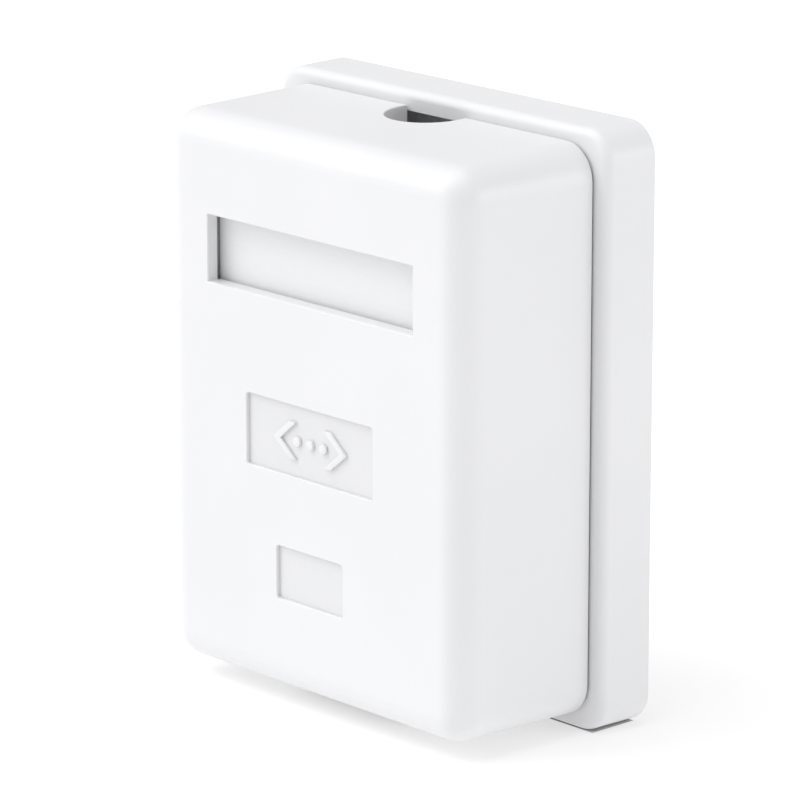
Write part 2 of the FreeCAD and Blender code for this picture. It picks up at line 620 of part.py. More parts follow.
def make_contact_carrier():
    body = block(centred(0, CARRIER_WIDTH), (BOARD_FACE, BOARD_FACE + CARRIER_HEIGHT),
                 (PORT_END_Z + CARRIER_PLAY, JACK_END_Z - CARRIER_PLAY))
    slots = []
    for x, tail_z in CONTACT_PLACES:
        slots.append(block(centred(x, CONTACT_WIDTH + 2 * CONTACT_PLAY),
                           (BOARD_FACE - PAST, CONTACT_DEPTH + CONTACT_THICKNESS / 2 + CONTACT_PLAY),
                           (PORT_END_Z - PAST, tail_z + CONTACT_THICKNESS / 2 + CONTACT_PLAY)))
    return body.cut(slots)


def make_contact(x, tail_z):
    """A tail through the board, a run to the mouth, then a beam that slopes back over it."""
    slope = math.radians(CONTACT_SLOPE)
    front_z = MOUTH_Z + CONTACT_MOUTH_INSET
    rise = CONTACT_DEPTH + CONTACT_RETURN
    tip = (front_z + CONTACT_BEAM * math.cos(slope), rise + CONTACT_BEAM * math.sin(slope))
    root_z = tail_z + CONTACT_THICKNESS / 2
    path = [(root_z, CONTACT_DEPTH), (front_z, CONTACT_DEPTH), (front_z, rise), tip]
    spring = bent_strip(path, CONTACT_BEND, CONTACT_THICKNESS, CONTACT_WIDTH, x)
    tail = block(centred(x, CONTACT_WIDTH), (TAIL_END, CONTACT_DEPTH + CONTACT_THICKNESS / 2),
                 centred(tail_z, CONTACT_THICKNESS))
    return spring.fuse(tail).removeSplitter()


# -------------------------------------------------------------- terminal blocks
def make_idc_block(side):
    x = side * BLOCK_X
    half_x = BLOCK_WIDTH / 2
    body = block(centred(x, BLOCK_WIDTH), (BOARD_FACE, BLOCK_FRONT), centred(BLOCK_Z, BLOCK_LENGTH))
    cuts = []
    for z in WIRE_PLACES:
        cuts.append(block((x - half_x - PAST, x + half_x + PAST),
                          (BLOCK_FRONT - WIRE_SLOT_DEPTH, BLOCK_FRONT + PAST), centred(z, WIRE_SLOT_WIDTH)))
        lead = [(BLOCK_FRONT - WIRE_LEAD_DEPTH, z - WIRE_SLOT_WIDTH / 2),
                (BLOCK_FRONT, z - WIRE_LEAD_WIDTH / 2), (BLOCK_FRONT, z + WIRE_LEAD_WIDTH / 2),
                (BLOCK_FRONT - WIRE_LEAD_DEPTH, z + WIRE_SLOT_WIDTH / 2)]
        cuts.append(prism_along_x(lead, (x - half_x - PAST, x + half_x + PAST)))
        cuts.append(block(centred(x, TERMINAL_THICKNESS + 2 * TERMINAL_PLAY),
                          (BOARD_FACE - PAST, BLOCK_FRONT + PAST),
                          centred(z, TERMINAL_WIDTH + 2 * TERMINAL_PLAY)))
    return body.cut(cuts)


def make_terminal(side, z):
    """A forked blade that stands in the block, with a pin through the board."""
    x_range = centred(side * BLOCK_X, TERMINAL_THICKNESS)
    foot = BOARD_FACE + TERMINAL_PLAY
    tip = BLOCK_FRONT - TERMINAL_BELOW_BLOCK
    half = TERMINAL_WIDTH / 2
    pin = TERMINAL_PIN_WIDTH / 2
    slit = TERMINAL_SLIT / 2
    one_side = [(TAIL_END, pin), (foot, pin), (foot, half), (tip - TERMINAL_THROAT, half),
                (tip, half - TERMINAL_THROAT / 2), (tip, slit + TERMINAL_THROAT / 2),
                (tip - TERMINAL_THROAT, slit), (tip - TERMINAL_SLIT_DEPTH, slit)]
    corners = [(d, z + w) for d, w in one_side] + [(d, z - w) for d, w in reversed(one_side)]
    return prism_along_x(corners, x_range)


def make_wire_cap(side):
    """A cap over the top of a block, slotted for the wires and finned inside."""
    x = side * BLOCK_X
    room_x = BLOCK_WIDTH + 2 * CAP_PLAY
    room_z = BLOCK_LENGTH + 2 * CAP_PLAY
    ceiling = BLOCK_FRONT + CAP_HEADROOM
    rim = BLOCK_FRONT - CAP_ENGAGEMENT
    top = ceiling + CAP_TOP
    cap = block(centred(x, room_x + 2 * CAP_WALL), (rim, top),
                centred(BLOCK_Z, room_z + 2 * CAP_WALL))
    cap = cap.makeChamfer(CAP_EDGE, edges_at_depth(cap, top))
    cuts = [block(centred(x, room_x), (rim - PAST, ceiling), centred(BLOCK_Z, room_z))]
    reach = room_x / 2 + CAP_WALL + PAST
    for z in WIRE_PLACES:
        cuts.append(block((x - reach, x + reach), (rim - PAST, rim + CAP_SLOT_DEPTH),
                          centred(z, CAP_SLOT_WIDTH)))
    cap = cap.cut(cuts)
    fins = [block(centred(x + end * CAP_FIN_PITCH / 2, CAP_FIN_LENGTH),
                  (ceiling - CAP_FIN_REACH, ceiling + CAP_TOP / 2), centred(z, CAP_FIN_WIDTH))
            for z in WIRE_PLACES for end in (-1, 1)]
    return cap.fuse(fins)


# ----------------------------------------------------------------------- export
def make_all():
    parts = {
        "base": make_base(),
        "cover": make_cover(),
        "label_strip": make_label_strip(),
        "circuit_board": make_circuit_board(),
        "board_screws": make_board_screws(),
        "jack_housing": make_jack_housing(),
        "contact_carrier": make_contact_carrier(),
    }
    for number, (x, tail_z) in enumerate(CONTACT_PLACES, 1):
        parts["jack_contact_%d" % number] = make_contact(x, tail_z)
    for name, side in SIDES.items():
        parts[name + "_idc_block"] = make_idc_block(side)
        parts[name + "_wire_cap"] = make_wire_cap(side)
        for number, z in enumerate(reversed(WIRE_PLACES), 1):
            parts["%s_terminal_%d" % (name, number)] = make_terminal(side, z)
    return parts


def main():
    os.makedirs("parts", exist_ok=True)
    for node, shape in make_all().items():
        shape.exportStep(os.path.join("parts", node + ".step"))


main()
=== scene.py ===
import math

import bpy
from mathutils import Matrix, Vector


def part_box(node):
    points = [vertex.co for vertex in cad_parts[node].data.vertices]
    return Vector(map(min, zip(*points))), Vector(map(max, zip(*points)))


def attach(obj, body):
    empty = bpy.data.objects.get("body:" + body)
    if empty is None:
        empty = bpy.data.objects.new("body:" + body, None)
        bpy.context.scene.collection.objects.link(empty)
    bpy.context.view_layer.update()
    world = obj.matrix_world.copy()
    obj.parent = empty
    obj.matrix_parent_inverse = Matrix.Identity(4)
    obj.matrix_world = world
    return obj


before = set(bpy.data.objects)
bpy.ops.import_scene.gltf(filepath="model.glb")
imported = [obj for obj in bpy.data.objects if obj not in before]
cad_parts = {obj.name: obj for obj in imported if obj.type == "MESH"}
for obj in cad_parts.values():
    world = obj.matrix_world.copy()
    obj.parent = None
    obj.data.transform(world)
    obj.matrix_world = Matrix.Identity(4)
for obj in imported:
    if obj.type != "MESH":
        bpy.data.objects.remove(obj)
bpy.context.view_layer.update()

# Surface mount jack box: white moulded tray and cover, a label strip behind the
# window, and a circuit board with a modular jack and two terminal blocks inside.
# Everything is in metres, in the frame of the CAD model: X across the box, +Z up,
# the wall at y = 0 and the front face towards -Y.

MM = 0.001


# ------------------------------------------------------------- named places
COVER_LOW, COVER_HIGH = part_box("cover")
BASE_LOW, BASE_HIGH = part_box("base")

SUNK_DEPTH = 0.45 * MM           # depth of the sunk panels in the front face
SUNK_HALF_WIDTH = 11.0 * MM      # reaches past both sunk panels
SUNK_FROM_TOP = (30.0 * MM, 54.0 * MM)   # the panels lie between these two depths
PANEL_BELOW_TOP = 34.75 * MM     # middle of the wide panel below the top of the cover
PANEL_FACE = COVER_LOW.y + SUNK_DEPTH
PANEL_Z = COVER_HIGH.z - PANEL_BELOW_TOP
HAIR = 0.05 * MM                 # how near the floor of a panel a face counts as part of it
# the floors of the sunk panels, which get a darker tone as painted shade
SHADED_SUNK_FLOORS = (Vector((-SUNK_HALF_WIDTH, PANEL_FACE - HAIR, COVER_HIGH.z - SUNK_FROM_TOP[1])),
               Vector((SUNK_HALF_WIDTH, PANEL_FACE + HAIR, COVER_HIGH.z - SUNK_FROM_TOP[0])))


# ------------------------------------------------------------- mesh helpers
SMOOTH_BELOW = 35                # degrees between two faces that still shade as one curve
FACING_FRONT = (math.pi / 2, 0, 0)       # turns a flat primitive to face the front


def deselect_all():
    for item in bpy.context.selected_objects:
        item.select_set(False)


def select_only(piece):
    deselect_all()
    piece.select_set(True)
    bpy.context.view_layer.objects.active = piece


def start_piece(name):
    """Name the primitive that has just been added."""
    piece = bpy.context.object
    piece.name = name
    piece.data.name = name
    return piece


def settle(piece):
    """Move a piece's place and size into its mesh, so its object lies at the origin."""
    select_only(piece)
    bpy.ops.object.transform_apply(location=True, rotation=True, scale=True)
    return piece


def bevel_edges(piece, width, segments):
    """Break the sharp edges of a raised piece."""
    modifier = piece.modifiers.new("Bevel", "BEVEL")
    modifier.width = width
    modifier.segments = segments
    modifier.limit_method = "ANGLE"
    select_only(piece)
    bpy.ops.object.modifier_apply(modifier=modifier.name)


def join_pieces(pieces, name):
    """Make one named piece of several shapes."""
    deselect_all()
    for piece in pieces:
        piece.select_set(True)
    bpy.context.view_layer.objects.active = pieces[0]
    bpy.ops.object.join()
    joined = bpy.context.object
    joined.name = name
    joined.data.name = name
    return joined


def smooth_by_angle(piece):
    select_only(piece)
    bpy.ops.object.shade_smooth_by_angle(angle=math.radians(SMOOTH_BELOW))


def raise_sheet(piece, thickness, line=None):
    """Raise a flat sheet towards the front; a line's width keeps only its outer edge."""
    bpy.ops.object.mode_set(mode="EDIT")
    bpy.ops.mesh.select_all(action="SELECT")
    if line:
        bpy.ops.mesh.inset(thickness=line)
        bpy.ops.mesh.delete(type="FACE")
        bpy.ops.mesh.select_all(action="SELECT")
    bpy.ops.mesh.extrude_region_move(TRANSFORM_OT_translate={"value": (0, -thickness, 0)})
    bpy.ops.mesh.select_all(action="SELECT")
    bpy.ops.mesh.normals_make_consistent(inside=False)
    bpy.ops.object.mode_set(mode="OBJECT")
    return piece


def raise_outline(name, points, thickness, back_y):
    """A flat shape given by points in X and Z, filled, and raised from back_y."""
    bpy.ops.mesh.primitive_circle_add(vertices=len(points), radius=1.0, fill_type="NGON",
                                      rotation=FACING_FRONT)
    piece = settle(start_piece(name))
    for vertex, (x, z) in zip(piece.data.vertices, points):
        vertex.co = (x, back_y, z)
    return raise_sheet(piece, thickness)


def finish_piece(piece, body, material):
    """Give a piece its material, and let it ride on its body."""
    piece.data.materials.clear()
    piece.data.materials.append(material)
    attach(piece, body)


# --------------------------------------------------------- material helpers
EDGE_SAMPLES = 4                 # rays that look for an edge to soften
NOISE_SPAN = (0.3, 0.7)          # nearly all of a noise lies between these


class Finish:
    """One procedural material: a Principled shader fed by patterns on Object coordinates."""

    def __init__(self, name, **settings):
        self.material = bpy.data.materials.new(name)
        self.material.use_nodes = True
        self.nodes = self.material.node_tree.nodes
        self.links = self.material.node_tree.links
        self.shader = self.nodes["Principled BSDF"]
        self.place = self.nodes.new("ShaderNodeTexCoord").outputs["Object"]
        for socket, value in settings.items():
            self.shader.inputs[socket.replace("_", " ")].default_value = value

    def node(self, kind, **settings):
        """A new shader node with its settings."""
        made = self.nodes.new(kind)
        for key, value in settings.items():
            setattr(made, key, value)
        return made

    def stretched(self, scale):
        """Object coordinates stretched by different amounts along X, Y and Z."""
        mapping = self.node("ShaderNodeMapping")
        mapping.inputs["Scale"].default_value = scale
        self.links.new(self.place, mapping.inputs["Vector"])
        return mapping.outputs["Vector"]

    def noise(self, size, detail=2.0, roughness=0.5, place=None):
        """Cloudy noise whose blotches are about size metres across."""
        noise = self.node("ShaderNodeTexNoise")
        noise.inputs["Scale"].default_value = 1.0 / size
        noise.inputs["Detail"].default_value = detail
        noise.inputs["Roughness"].default_value = roughness
        self.links.new(place or self.place, noise.inputs["Vector"])
        return noise.outputs["Fac"]

    def ramp(self, factor, low, high):
        """A colour that runs from low to high as the factor does."""
        ramp = self.node("ShaderNodeValToRGB")
        for stop, place, colour in zip(ramp.color_ramp.elements, NOISE_SPAN, (low, high)):
            stop.position = place
            stop.color = (*colour, 1.0)
        self.links.new(factor, ramp.inputs["Fac"])
        return ramp.outputs["Color"]

    def spread(self, factor, low, high, span=NOISE_SPAN):
        """A plain number that runs from low to high as the factor crosses the span."""
        spread = self.node("ShaderNodeMapRange")
        for key, value in (("From Min", span[0]), ("From Max", span[1]),
                           ("To Min", low), ("To Max", high)):
            spread.inputs[key].default_value = value
        self.links.new(factor, spread.inputs["Value"])
        return spread.outputs["Result"]

    def mix(self, factor, first, second):
        """Two colours blended by a factor."""
        mix = self.node("ShaderNodeMix", data_type="RGBA")
        self.links.new(factor, mix.inputs["Factor"])
        for socket, value in ((mix.inputs["A"], first), (mix.inputs["B"], second)):
            if isinstance(value, tuple):
                socket.default_value = (*value, 1.0)
            else:
                self.links.new(value, socket)
        return mix.outputs["Result"]

    def within(self, low, high):
        """One inside the box between two corners, and zero outside it."""
        steps = self.node("ShaderNodeMapping", vector_type="TEXTURE")
        steps.inputs["Location"].default_value = (low + high) / 2
        steps.inputs["Scale"].default_value = (high - low) / 2
        self.links.new(self.place, steps.inputs["Vector"])
        size = self.node("ShaderNodeVectorMath", operation="ABSOLUTE")
        self.links.new(steps.outputs["Vector"], size.inputs[0])
        axes = self.node("ShaderNodeSeparateXYZ")
        self.links.new(size.outputs["Vector"], axes.inputs["Vector"])
        largest = axes.outputs["X"]
        for axis in "YZ":
            wider = self.node("ShaderNodeMath", operation="MAXIMUM")
            self.links.new(largest, wider.inputs[0])
            self.links.new(axes.outputs[axis], wider.inputs[1])
            largest = wider.outputs["Value"]
        inside = self.node("ShaderNodeMath", operation="LESS_THAN")
        inside.inputs[1].default_value = 1.0
        self.links.new(largest, inside.inputs[0])
        return inside.outputs["Value"]

    def soft_edges(self, radius):
        """A normal that rounds off sharp edges by a hair."""
        bevel = self.node("ShaderNodeBevel", samples=EDGE_SAMPLES)
        bevel.inputs["Radius"].default_value = radius
        return bevel.outputs["Normal"]

    def bumps(self, height, depth, strength, normal=None):
        """A normal with fine relief, laid over another normal where one is given."""
        bump = self.node("ShaderNodeBump")
        bump.inputs["Strength"].default_value = strength
        bump.inputs["Distance"].default_value = depth
        self.links.new(height, bump.inputs["Height"])
        if normal:
            self.links.new(normal, bump.inputs["Normal"])
        return bump.outputs["Normal"]

    def set(self, **sources):
        """Feed the shader's sockets, and hand over the finished material."""
        for socket, source in sources.items():
            self.links.new(source, self.shader.inputs[socket.replace("_", " ")])
        return self.material


def white_moulding():
    """White styrene moulding with a fine grain, and painted shade darkening the floors of the sunk
    panels.
    """
    finish = Finish("white_moulding", IOR=1.5)
    cloud = finish.noise(size=18 * MM, detail=3.0)
    grain = finish.noise(size=0.22 * MM, detail=2.0, roughness=0.6)
    tone = finish.ramp(cloud, (0.760, 0.763, 0.774), (0.778, 0.780, 0.791))
    # painted shade: the darker tone given to the floors of the sunk panels; their roughness stays
    # the same
    dull = finish.ramp(grain, (0.710, 0.712, 0.722), (0.724, 0.726, 0.736))
    tone = finish.mix(finish.within(*SHADED_SUNK_FLOORS), tone, dull)
    shine = finish.spread(grain, 0.30, 0.40)
    edges = finish.soft_edges(radius=0.08 * MM)
    normal = finish.bumps(grain, depth=0.012 * MM, strength=0.35, normal=edges)
    return finish.set(Base_Color=tone, Roughness=shine, Normal=normal)


def label_card():
    """Matt white strip with a faint lengthwise fibre."""
    finish = Finish("label_card", IOR=1.45)
    fibre = finish.noise(size=0.5 * MM, detail=4.0, place=finish.stretched((0.25, 1.0, 1.0)))
    tone = finish.ramp(fibre, (0.785, 0.788, 0.798), (0.800, 0.803, 0.812))
    edges = finish.soft_edges(radius=0.1 * MM)
    normal = finish.bumps(fibre, depth=0.02 * MM, strength=0.4, normal=edges)
    return finish.set(Base_Color=tone, Roughness=finish.spread(fibre, 0.52, 0.62), Normal=normal)


FLAT_ABOVE = 0.5                 # a face of the board looks this much along Y or more


def green_board():
    """Green solder mask on both faces, bare glass laminate on the cut edges."""
    finish = Finish("green_board", IOR=1.5)
    cloud = finish.noise(size=6 * MM, detail=3.0)
    weave = finish.noise(size=0.45 * MM, detail=2.0, place=finish.stretched((1.0, 1.0, 0.4)))
    mask = finish.ramp(cloud, (0.012, 0.115, 0.045), (0.018, 0.150, 0.060))
    laminate = finish.ramp(weave, (0.36, 0.33, 0.17), (0.52, 0.49, 0.28))
    facing = finish.node("ShaderNodeSeparateXYZ")
    geometry = finish.node("ShaderNodeNewGeometry")
    finish.links.new(geometry.outputs["Normal"], facing.inputs["Vector"])
    flat = finish.node("ShaderNodeMath", operation="ABSOLUTE")
    finish.links.new(facing.outputs["Y"], flat.inputs[0])
    on_face = finish.node("ShaderNodeMath", operation="GREATER_THAN")
    on_face.inputs[1].default_value = FLAT_ABOVE
    finish.links.new(flat.outputs[0], on_face.inputs[0])
    tone = finish.mix(on_face.outputs[0], laminate, mask)
    normal = finish.bumps(weave, depth=0.01 * MM, strength=0.4)
    return finish.set(Base_Color=tone, Roughness=finish.spread(cloud, 0.24, 0.34), Normal=normal)


def masked_copper():
    """Copper tracks that show lighter through the green mask."""
    finish = Finish("masked_copper", IOR=1.5)
    cloud = finish.noise(size=4 * MM, detail=3.0)
    tone = finish.ramp(cloud, (0.030, 0.200, 0.075), (0.045, 0.250, 0.095))
    normal = finish.bumps(finish.noise(size=0.3 * MM), depth=0.005 * MM, strength=0.4)
    return finish.set(Base_Color=tone, Roughness=finish.spread(cloud, 0.22, 0.32), Normal=normal)


def board_ink():
    """White printed ink, a little thin in places."""
    finish = Finish("board_ink", IOR=1.45)
    grain = finish.noise(size=0.25 * MM, detail=3.0)
    tone = finish.ramp(grain, (0.58, 0.61, 0.57), (0.76, 0.77, 0.74))
    return finish.set(Base_Color=tone, Roughness=finish.spread(grain, 0.55, 0.70),
                      Normal=finish.bumps(grain, depth=0.006 * MM, strength=0.5))


def bright_zinc():
    """Bright zinc plate, a little blue and unevenly dull."""
    finish = Finish("bright_zinc", Metallic=1.0)
    cloud = finish.noise(size=1.1 * MM, detail=3.0)
    tone = finish.ramp(cloud, (0.52, 0.54, 0.57), (0.72, 0.73, 0.73))
    edges = finish.soft_edges(radius=0.15 * MM)
    normal = finish.bumps(finish.noise(size=0.12 * MM), depth=0.01 * MM, strength=0.4, normal=edges)
    return finish.set(Base_Color=tone, Roughness=finish.spread(cloud, 0.25, 0.42), Normal=normal)


def black_moulding():
    """Black moulded nylon of the jack and its insert."""
    finish = Finish("black_moulding", IOR=1.5)
    cloud = finish.noise(size=3 * MM, detail=3.0)
    grain = finish.noise(size=0.18 * MM)
    tone = finish.ramp(cloud, (0.014, 0.014, 0.015), (0.024, 0.024, 0.026))
    edges = finish.soft_edges(radius=0.12 * MM)
    normal = finish.bumps(grain, depth=0.012 * MM, strength=0.4, normal=edges)
    return finish.set(Base_Color=tone, Roughness=finish.spread(grain, 0.30, 0.44), Normal=normal)


def dark_block():
    """Dark grey polycarbonate of the terminal blocks."""
    finish = Finish("dark_block", IOR=1.52)
    cloud = finish.noise(size=2.5 * MM, detail=3.0)
    grain = finish.noise(size=0.15 * MM)
    tone = finish.ramp(cloud, (0.045, 0.045, 0.048), (0.062, 0.062, 0.066))
    edges = finish.soft_edges(radius=0.12 * MM)
    normal = finish.bumps(grain, depth=0.01 * MM, strength=0.35, normal=edges)
    return finish.set(Base_Color=tone, Roughness=finish.spread(cloud, 0.36, 0.48), Normal=normal)


def dark_cap():
    """Slightly glossier dark plastic of the wire caps."""
    finish = Finish("dark_cap", IOR=1.5)
    cloud = finish.noise(size=3.5 * MM, detail=2.0)
    grain = finish.noise(size=0.2 * MM)
    tone = finish.ramp(cloud, (0.034, 0.034, 0.038), (0.050, 0.050, 0.055))
    edges = finish.soft_edges(radius=0.15 * MM)
    normal = finish.bumps(grain, depth=0.012 * MM, strength=0.4, normal=edges)
    return finish.set(Base_Color=tone, Roughness=finish.spread(grain, 0.28, 0.40), Normal=normal)


def gold_plate():
    """Thin gold over spring bronze, drawn along the contact."""
    finish = Finish("gold_plate", Metallic=1.0)
    drawn = finish.noise(size=0.2 * MM, detail=3.0, place=finish.stretched((1.0, 1.0, 0.15)))
    tone = finish.ramp(drawn, (0.70, 0.47, 0.17), (0.87, 0.66, 0.30))
    normal = finish.bumps(drawn, depth=0.005 * MM, strength=0.5)
    return finish.set(Base_Color=tone, Roughness=finish.spread(drawn, 0.18, 0.30), Normal=normal)


def tin_plate():
    """Soft grey tin over bronze."""
    finish = Finish("tin_plate", Metallic=1.0)
    cloud = finish.noise(size=0.5 * MM, detail=3.0)
    tone = finish.ramp(cloud, (0.54, 0.54, 0.52), (0.72, 0.72, 0.70))
    normal = finish.bumps(cloud, depth=0.008 * MM, strength=0.4)
    return finish.set(Base_Color=tone, Roughness=finish.spread(cloud, 0.30, 0.46), Normal=normal)


FINISHES = {
    "white_shell": white_moulding(),
    "label_strip": label_card(),
    "circuit_board": green_board(),
    "zinc_screw": bright_zinc(),
    "black_insert": black_moulding(),
    "block_plastic": dark_block(),
    "cap_plastic": dark_cap(),
    "gold_contact": gold_plate(),
    "tinned_terminal": tin_plate(),
}


def dress_cad_nodes():
    """Swap each node's plain material for the finish of the same slot."""
    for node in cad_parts.values():
        for slot in node.material_slots:
            slot.material = FINISHES[slot.material.name.split(".")[0]]


# ------------------------------------------------------------------- stage
STUDIO_LIGHTS = (
    # name, direction towards the light, strength, angular size in degrees
    ("front_left", (-0.62, -0.60, 0.50), 0.90, 50),
    ("above", (-0.20, -0.30, 0.92), 1.36, 60),
    ("right", (0.80, 0.50, 0.10), 0.86, 40),
)
WORLD_STRENGTH = 0.60            # even white light from all round
FLOOR_REACH = 8.0                # radius of the floor
FLOOR_SIDES = 96
FLOOR_CLOUD = 0.4                # size of the faint blotches on the floor
FLOOR_GLOW = 0.42                # the floor is a lit table, which keeps its shadows light
FOOT_INSET = 2.2 * MM            # painted contact shadow: the glow stops under the tray's foot, this far inside its sides
FOOT_FRONT = 0.6 * MM            # and this far behind its rim
FOOT_LEVEL = 1.0 * MM            # how near the floor's surface counts as the foot


def build_floor():
    """A wide pale floor, at the lowest point of the box."""
    bpy.ops.mesh.primitive_circle_add(vertices=FLOOR_SIDES, radius=FLOOR_REACH, fill_type="NGON",
                                      location=(0, 0, BASE_LOW.z))
    floor = start_piece("floor")
    finish = Finish("pale_floor", Roughness=0.9, Specular_IOR_Level=0.0,
                    Emission_Color=(1.0, 1.0, 1.0, 1.0))
    cloud = finish.noise(FLOOR_CLOUD)
    tone = finish.ramp(cloud, (0.625, 0.625, 0.625), (0.635, 0.635, 0.635))
    # painted contact shadow: no glow under the tray's foot, which leaves a dark line along the
    # tray's bottom edges
    painted_shadow_foot = finish.within(
        Vector((BASE_LOW.x + FOOT_INSET, BASE_LOW.y + FOOT_FRONT, -FOOT_LEVEL)),
        Vector((BASE_HIGH.x - FOOT_INSET, BASE_HIGH.y, FOOT_LEVEL)))
    glow_and_painted_shadow = finish.spread(painted_shadow_foot, FLOOR_GLOW, 0.0, span=(0.0, 1.0))
    floor.data.materials.append(finish.set(Base_Color=tone, Emission_Strength=glow_and_painted_shadow))


def build_lights():
    """An even white room, and three broad lamps."""
    world = bpy.data.worlds.new("studio")
    bpy.context.scene.world = world
    world.use_nodes = True
    background = world.node_tree.nodes["Background"]
    background.inputs["Color"].default_value = (1, 1, 1, 1)
    background.inputs["Strength"].default_value = WORLD_STRENGTH
    for name, direction, strength, size in STUDIO_LIGHTS:
        lamp = bpy.data.lights.new(name, "SUN")
        lamp.energy = strength
        lamp.angle = math.radians(size)
        light = bpy.data.objects.new(name, lamp)
        light.rotation_euler = Vector(direction).to_track_quat("Z", "Y").to_euler()
        bpy.context.scene.collection.objects.link(light)


CAMERA_AZIMUTH = 47.49           # degrees round the box from straight in front
CAMERA_ELEVATION = 15.03
CAMERA_DISTANCE = 562.9 * MM
CAMERA_TARGET = Vector((-0.76, -12.0, 0.03)) * MM
CAMERA_LENS = 227.39             # this and the next in millimetres
CAMERA_SENSOR = 36.0
NEAREST_SEEN = 10 * MM


def build_camera():
    """A long lens from the front right, a little above the box."""
    azimuth, elevation = math.radians(CAMERA_AZIMUTH), math.radians(CAMERA_ELEVATION)
    backwards = Vector((math.sin(azimuth) * math.cos(elevation),
                        -math.cos(azimuth) * math.cos(elevation), math.sin(elevation)))
    lens = bpy.data.cameras.new("camera")
    lens.lens = CAMERA_LENS
    lens.sensor_width = CAMERA_SENSOR
    lens.clip_start = NEAREST_SEEN
    camera = bpy.data.objects.new("camera", lens)
    camera.location = CAMERA_TARGET + backwards * CAMERA_DISTANCE
    camera.rotation_euler = backwards.to_track_quat("Z", "Y").to_euler()
    bpy.context.scene.collection.objects.link(camera)
    bpy.context.scene.camera = camera


# --------------------------------------------------------------- port sign
SIGN_WIDTH = 12.0 * MM
SIGN_HEIGHT = 4.3 * MM
SIGN_STROKE = 1.15 * MM          # width of a bracket's arm, measured along X
SIGN_RAISE = 0.35 * MM
SIGN_BRACKET_WIDTH = 2.6 * MM
SIGN_DOT = 1.15 * MM
SIGN_DOT_PITCH = 2.15 * MM
SIGN_DOTS = 3
DOT_SIDES = 24
SIGN_EDGE = 0.07 * MM            # rounding of the sign's edges


def sign_bracket(way):
    """One angle bracket of the port sign, open towards the dots."""
    tip = way * SIGN_WIDTH / 2
    arm = tip - way * SIGN_BRACKET_WIDTH
    half = SIGN_HEIGHT / 2
    stroke = way * SIGN_STROKE
    points = [(tip, 0), (arm, half), (arm - stroke, half),
              (tip - stroke, 0), (arm - stroke, -half), (arm, -half)]
    points = [(x, PANEL_Z + z) for x, z in points]
    return raise_outline("sign_bracket", points, SIGN_RAISE, PANEL_FACE)


def sign_dot(x):
    """One round dot of the port sign."""
    bpy.ops.mesh.primitive_cylinder_add(vertices=DOT_SIDES, radius=SIGN_DOT / 2, depth=SIGN_RAISE,
                                        location=(x, PANEL_FACE - SIGN_RAISE / 2, PANEL_Z),
                                        rotation=FACING_FRONT)
    return settle(start_piece("sign_dot"))


def build_port_sign():
    """Raised network-port sign in the wide panel: two angle brackets and three dots."""
    parts = [sign_bracket(-1), sign_bracket(1)]
    for i in range(SIGN_DOTS):
        parts.append(sign_dot((i - (SIGN_DOTS - 1) / 2) * SIGN_DOT_PITCH))
    sign = join_pieces(parts, "port_sign")
    bevel_edges(sign, SIGN_EDGE, segments=2)
    smooth_by_angle(sign)
    finish_piece(sign, "front", FINISHES["white_shell"])


# ------------------------------------------------------------ board detail
BOARD_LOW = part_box("circuit_board")[0]
BOARD_FACE = BOARD_LOW.y         # the board's face towards the cover
JACK_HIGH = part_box("jack_housing")[1]
BLOCK_LOW, BLOCK_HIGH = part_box("right_idc_block")
SCREWS_LOW, SCREWS_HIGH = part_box("board_screws")

TRACK_WIDTH = 0.42 * MM
TRACK_RAISE = 0.05 * MM
TRACK_PITCH = 0.9 * MM           # between the upright legs of neighbouring tracks
TRACK_INNERMOST = 2.3 * MM       # middle of the box to the nearest upright leg
TRACK_CORNER = 0.8 * MM          # reach of the slant from the leg to the block
TRACK_END_GAP = 0.05 * MM        # bare board left before a moulding
TRACK_EDGE = 0.012 * MM          # bevel along a track's edges
CONTACT_PITCH = 1.02 * MM        # between neighbouring contacts of the jack
WIRE_PLACES = (3.0 * MM, 6.4 * MM, 9.8 * MM, 13.2 * MM)     # heights of a block's four wires

PRINT_LINE = 0.2 * MM
PRINT_RAISE = 0.075 * MM
PRINT_CLEAR = 0.3 * MM           # between a moulding and the line round it
TICK_LENGTH = 0.55 * MM          # the short line beside each wire place
MARK_SIZE = 0.9 * MM             # the triangle at the jack's first contact

PAD_RADIUS = 2.55 * MM
PAD_RAISE = 0.04 * MM
PAD_SIDES = 48


def strip_outline(path, width):
    """The outline of a strip of even width that follows a path of straight legs."""
    one_side, other_side = [], []
    for i, point in enumerate(path):
        arriving = (point - path[i - 1]).normalized() if i else None
        leaving = (path[i + 1] - point).normalized() if i + 1 < len(path) else arriving
        arriving = arriving or leaving
        along = (arriving + leaving).normalized()
        across = Vector((-along.y, along.x)) * (width / 2 / along.dot(leaving))
        one_side.append(point + across)
        other_side.append(point - across)
    return [tuple(point) for point in one_side + other_side[::-1]]


def board_strip(name, path, width, thickness):
    """A raised strip on the face of the board; the path gives X and Z."""
    outline = strip_outline([Vector(point) for point in path], width)
    return raise_outline(name, outline, thickness, BOARD_FACE)


def track(side, step):
    """A track from one jack contact up to its wire place on the block of that side."""
    start = JACK_HIGH.z + TRACK_END_GAP
    contact = CONTACT_PITCH * (step + 0.5)
    leg = TRACK_INNERMOST + TRACK_PITCH * step
    place = WIRE_PLACES[-1 - step]
    end = BLOCK_LOW.x - TRACK_END_GAP
    path = [(contact, start), (leg, start + leg - contact), (leg, place - TRACK_CORNER),
            (leg + TRACK_CORNER, place), (end, place)]
    return board_strip("track", [(side * x, z) for x, z in path], TRACK_WIDTH, TRACK_RAISE)


def build_board_tracks():
    """Eight raised tracks between the jack and the two terminal blocks."""
    tracks = [track(side, step) for side in (-1, 1) for step in range(len(WIRE_PLACES))]
    board_tracks = join_pieces(tracks, "board_tracks")
    bevel_edges(board_tracks, TRACK_EDGE, segments=1)
    finish_piece(board_tracks, "housing", masked_copper())


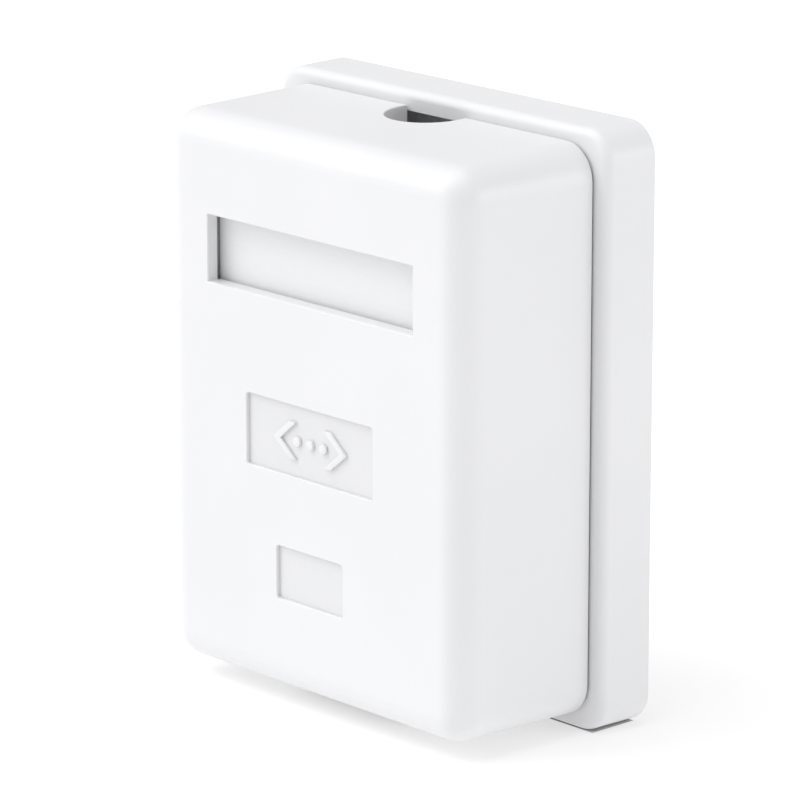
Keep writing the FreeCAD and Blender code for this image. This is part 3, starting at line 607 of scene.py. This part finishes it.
def block_print(side):
    """The printed line round one terminal block, and a tick beside each of its wires."""
    reach = PRINT_CLEAR + PRINT_LINE
    edges = sorted((side * (BLOCK_LOW.x - reach), side * (BLOCK_HIGH.x + reach)))
    bottom, top = BLOCK_LOW.z - reach, BLOCK_HIGH.z + reach
    middle = ((edges[0] + edges[1]) / 2, BOARD_FACE, (bottom + top) / 2)
    bpy.ops.mesh.primitive_plane_add(size=1.0, rotation=FACING_FRONT, location=middle)
    surround = start_piece("block_line")
    surround.scale = (edges[1] - edges[0], top - bottom, 1.0)
    parts = [raise_sheet(settle(surround), PRINT_RAISE, line=PRINT_LINE)]
    tick = side * (BLOCK_HIGH.x + reach)
    for place in WIRE_PLACES:
        parts.append(board_strip("tick", [(tick, place), (tick + side * TICK_LENGTH, place)],
                                 PRINT_LINE, PRINT_RAISE))
    return parts


def jack_print():
    """The printed line round the jack, and the triangle at its first contact."""
    side = JACK_HIGH.x + PRINT_CLEAR + PRINT_LINE / 2
    top = JACK_HIGH.z + PRINT_CLEAR + PRINT_LINE / 2
    board_end = BOARD_LOW.z + PRINT_CLEAR
    round_jack = [(-side, board_end), (-side, top), (side, top), (side, board_end)]
    x, z = -side + MARK_SIZE, top + 2 * PRINT_CLEAR
    triangle = [(x, z), (x + MARK_SIZE / 2, z + MARK_SIZE), (x - MARK_SIZE / 2, z + MARK_SIZE)]
    return [board_strip("jack_line", round_jack, PRINT_LINE, PRINT_RAISE),
            raise_outline("first_mark", triangle, PRINT_RAISE, BOARD_FACE)]


def build_board_print():
    """White print on the board, round the two terminal blocks and the jack."""
    parts = block_print(-1) + block_print(1) + jack_print()
    finish_piece(join_pieces(parts, "board_print"), "housing", board_ink())


def screw_pad(x, z, inside):
    """A flat tinned ring on the board, from the radius inside to the pad's own."""
    bpy.ops.mesh.primitive_circle_add(vertices=PAD_SIDES, radius=PAD_RADIUS, fill_type="NGON",
                                      location=(x, BOARD_FACE, z), rotation=FACING_FRONT)
    pad = settle(start_piece("screw_pad"))
    return raise_sheet(pad, PAD_RAISE, line=PAD_RADIUS - inside)


def build_screw_pads():
    """Tinned rings round the two screw heads."""
    head_radius = (SCREWS_HIGH.z - SCREWS_LOW.z) / 2
    x = SCREWS_HIGH.x - head_radius
    z = (SCREWS_HIGH.z + SCREWS_LOW.z) / 2
    pads = join_pieces([screw_pad(side * x, z, head_radius) for side in (-1, 1)], "screw_pads")
    smooth_by_angle(pads)
    finish_piece(pads, "housing", FINISHES["tinned_terminal"])


# ------------------------------------------------------------------- make
bpy.context.scene.view_settings.view_transform = "Standard"
dress_cad_nodes()
build_floor()
build_lights()
build_camera()
build_port_sign()
build_board_tracks()
build_board_print()
build_screw_pads()
